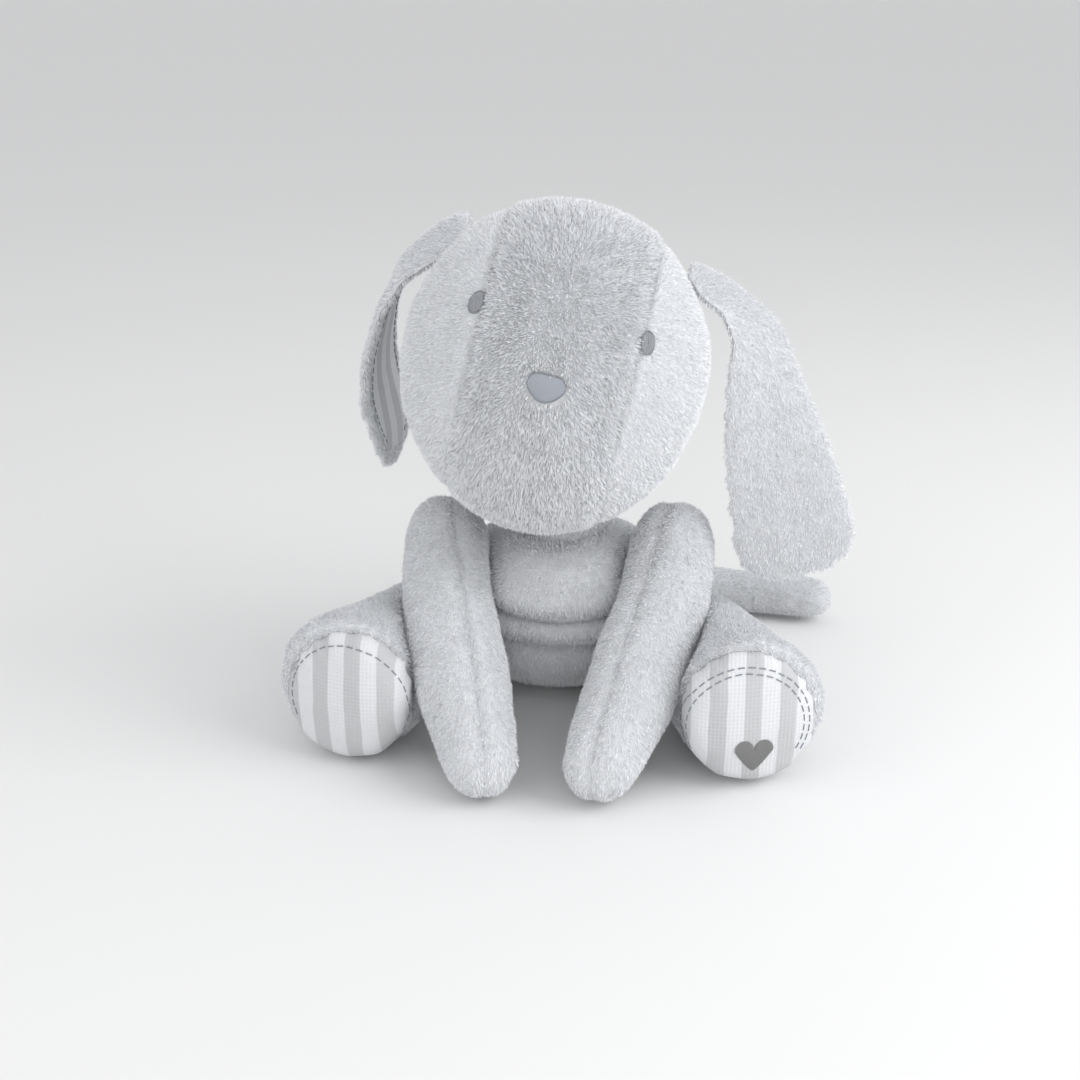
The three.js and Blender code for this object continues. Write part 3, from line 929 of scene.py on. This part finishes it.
def dashes(points, length=0.0042, gap=0.0024):
    """Short runs cut from a line of points, by distance along it."""
    points = np.array(points)
    run = np.concatenate([[0], np.cumsum(np.linalg.norm(np.diff(points, axis=0), axis=1))])
    found = []
    start = 0.0
    while start + length < run[-1]:
        places = np.linspace(start, start + length, 5)
        found.append([Vector([np.interp(at, run, points[:, k]) for k in range(3)]) for at in places])
        start += length + gap
    return found


no_turn = Euler((0, 0, 0)).to_matrix()
ahead = Vector((0, 1, 0))
for side, rows in (("left", (0.006, 0.0095)), ("right", (0.0065,))):
    low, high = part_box(f"{side}_sole")
    middle = Vector(((low[0] + high[0]) / 2, 0, (low[2] + high[2]) / 2))
    half_width = (high[0] - low[0]) / 2 + 0.0035
    half_height = (high[2] - low[2]) / 2 + 0.0015
    runs = []
    for row in rows:
        line = []
        for angle in np.linspace(math.radians(-28), math.radians(208), 160):
            x, z = (half_width - row) * math.cos(angle), (half_height - row) * math.sin(angle)
            point = onto(sole_shapes[side], middle + Vector((x, -RAY_START, z)), ahead, 0.0002)
            if point:
                line.append(point)
        runs += dashes(line)
    stitches(f"{side}_sole_topstitch", runs, 0.00042, stitch_thread, f"{side}_leg")
low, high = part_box("left_sole_motif")
middle = Vector(((low[0] + high[0]) / 2, 0, (low[2] + high[2]) / 2))
HEART_HALF = (0.0118, 0.0118)
satin(
    "sole_heart", "left_sole_motif", middle, sole_shapes["left"], ahead, no_turn, 0, heart, HEART_HALF,
    "left_leg", motif_thread, 0.0005, 0.0002,
)

# %% [markdown]
# ## Ears
# An ear is a flat bag: plush outside, striped cotton inside, topstitched a little in from the rim. The
# stripes run along the ear, so each point of an ear needs its distance from the ear's middle line. That
# line is found from the lining itself, as the middle of each slice of it.

# %% Ears
SLICES = 26


def middle_line(points):
    """Slices of a hanging flap: their heights, middles, directions across and half-widths."""
    edges = np.linspace(points[:, 2].min() - 1e-6, points[:, 2].max() + 1e-6, SLICES + 1)
    rows = []
    across = np.array([0.0, 1.0, 0.0])
    for low, high in zip(edges[:-1], edges[1:]):
        slab = points[(points[:, 2] >= low) & (points[:, 2] <= high)]
        if len(slab) < 6:
            continue
        centre = slab.mean(axis=0)
        spread = slab[:, :2] - centre[:2]
        _, _, axes = np.linalg.svd(spread, full_matrices=False)
        flat = np.array([*axes[0], 0.0])
        flat *= np.sign(flat @ across) or 1
        across = flat
        reach = spread @ axes[0]
        centre[:2] += axes[0] * (reach.max() + reach.min()) / 2
        rows.append([centre[2], *centre, *flat, (reach.max() - reach.min()) / 2])
    rows = np.array(rows)
    for k in range(1, rows.shape[1]):
        padded = np.pad(rows[:, k], 3, mode="edge")
        rows[:, k] = np.convolve(padded, np.ones(7) / 7, mode="valid")
    return rows


def across_ear(points, line):
    found = np.zeros(len(points))
    for k in range(3):
        centre = np.interp(points[:, 2], line[:, 0], line[:, 1 + k])
        flat = np.interp(points[:, 2], line[:, 0], line[:, 4 + k])
        found += (points[:, k] - centre) * flat
    return found


PLUSH_RIM = 0.008
LINING_LIFT = 0.0012


def lining_on(outer, target, line, name):
    """The faces of outer that look towards target, lifted off it, without a rim of plush."""
    lining = link(outer.data.copy(), name)
    form = bmesh.new()
    form.from_mesh(lining.data)
    bottom, top = line[:, 0].min(), line[:, 0].max()
    gone = []
    for face in form.faces:
        place = face.calc_center_median()
        aim = (target.find_nearest(place)[0] - place).normalized()
        half = np.interp(place.z, line[:, 0], line[:, 7])
        beside = abs(across_ear(np.array([place]), line)[0]) > half - PLUSH_RIM
        if face.normal.dot(aim) < 0.3 or beside or place.z < bottom + PLUSH_RIM * 0.8 or place.z > top:
            gone.append(face)
    bmesh.ops.delete(form, geom=gone, context="FACES")
    for _ in range(6):
        bmesh.ops.smooth_vert(
            form, verts=form.verts, factor=0.5, use_axis_x=True, use_axis_y=True, use_axis_z=True
        )
    form.to_mesh(lining.data)
    form.free()
    set_points(lining, points_of(lining) + normals_of(lining) * LINING_LIFT)
    apply_modifier(lining, "SUBSURF", levels=1, render_levels=1)
    return lining


for side in ("left", "right"):
    body = f"{side}_ear"
    outer = joined_copy(f"{side}_ear_outer_cloth", [f"{side}_ear_outer"])
    apply_modifier(outer, "REMESH", mode="VOXEL", voxel_size=0.002)
    apply_modifier(outer, "SMOOTH", factor=0.5, iterations=12)
    target = joined_copy(f"{side}_ear_target", [f"{side}_ear_lining"])
    apply_modifier(target, "SUBSURF", subdivision_type="SIMPLE", levels=2, render_levels=2)
    target_shape = BVHTree.FromObject(target, bpy.context.evaluated_depsgraph_get())
    line = middle_line(points_of(target))
    lining = lining_on(outer, target_shape, line, f"{side}_ear_lining_cloth")
    lining_shape = BVHTree.FromObject(lining, bpy.context.evaluated_depsgraph_get())
    covered = np.array([lining_shape.find_nearest(Vector(point))[3] for point in points_of(outer)])
    pile = grow_pile(outer, f"{side}_ear_outer_pile", seed=80, thick=(covered > 0.0016) * 1.0)
    runs = []
    for edge in (-1, 1):
        points = []
        for height, *rest in line[2:-3]:
            centre, flat, half = np.array(rest[:3]), np.array(rest[3:6]), rest[6]
            aim = Vector(centre + flat * edge * (half - PLUSH_RIM - 0.004))
            place, normal, _, _ = lining_shape.find_nearest(aim)
            points.append(place + normal * 0.0003)
        runs += dashes(points)
    stitches(f"{side}_ear_topstitch", runs, 0.0004, stitch_thread, body)
    apply_modifier(lining, "SOLIDIFY", thickness=0.0008, offset=-1, use_rim=True)
    set_across(lining, across_ear(points_of(lining), line))
    for cloth, material in ((outer, backing), (lining, striped)):
        cloth.data.materials.clear()
        cloth.data.materials.append(material)
        cloth.data.shade_smooth()
    finish_piece(pile, body)
    finish_piece(outer, body, [f"{side}_ear_outer"])
    finish_piece(lining, body, [f"{side}_ear_lining"])
    discard(target)
    print(side, "ear", len(outer.data.polygons), len(lining.data.polygons))

for used in (head_skin, torso_skin, *blades["plush"], *blades["gusset"]):
    discard(used)

# %% [markdown]
# ## Care label
# A blank ribbon with a slight wave and droop, sewn into the side seam.

# %% Label
low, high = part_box("care_label")
bpy.ops.object.select_all(action="DESELECT")
bpy.ops.mesh.primitive_grid_add(x_subdivisions=14, y_subdivisions=8, size=1)
label = bpy.context.object
label.name = "care_ribbon"
points = points_of(label)
reach = 0.5 - points[:, 0]
set_points(
    label,
    np.column_stack([
        low[0] + (high[0] - low[0]) * (points[:, 0] + 0.5),
        (low[1] + high[1]) / 2 + 0.004 * reach**2 * np.sin(points[:, 1] * 4 + 1),
        low[2] + (high[2] - low[2]) * (points[:, 1] + 0.5) - 0.003 * reach**2,
    ]),
)
apply_modifier(label, "SOLIDIFY", thickness=0.0007, offset=0)
apply_modifier(label, "SUBSURF", levels=1, render_levels=1)
label.data.materials.append(ribbon)
label.data.shade_smooth()
finish_piece(label, "torso", ["care_label"])

# %% [markdown]
# ## Room
# A pale floor, a pale world around it and big soft lights.

# %% Floor and lights
bpy.ops.mesh.primitive_plane_add(size=60)
floor = bpy.context.object
floor.name = "floor"
floor_material, tree, shader = new_material("floor_paint")
shader.inputs["Base Color"].default_value = grey(232, 0.0)
floor.data.materials.append(floor_material)


def area_light(name, location, aim, size, power):
    light = bpy.data.objects.new(name, bpy.data.lights.new(name, "AREA"))
    light.data.size = size
    light.data.energy = power
    light.location = location
    light.rotation_euler = (Vector(aim) - Vector(location)).to_track_quat("-Z", "Y").to_euler()
    bpy.context.scene.collection.objects.link(light)


area_light("window", (1.4, -0.5, 1.0), (0, 0, 0.15), 1.4, 18)
area_light("bounce", (-1.2, -1.1, 0.9), (0, 0, 0.15), 1.4, 4)
area_light("front", (0.3, -2.2, 0.95), (0, 0, 0.15), 1.3, 8)
world = bpy.data.worlds.new("room")
world.use_nodes = True
world.node_tree.nodes["Background"].inputs["Color"].default_value = (0.985, 0.99, 1, 1)
world.node_tree.nodes["Background"].inputs["Strength"].default_value = 0.76
bpy.context.scene.world = world
bpy.context.scene.view_settings.view_transform = "Standard"
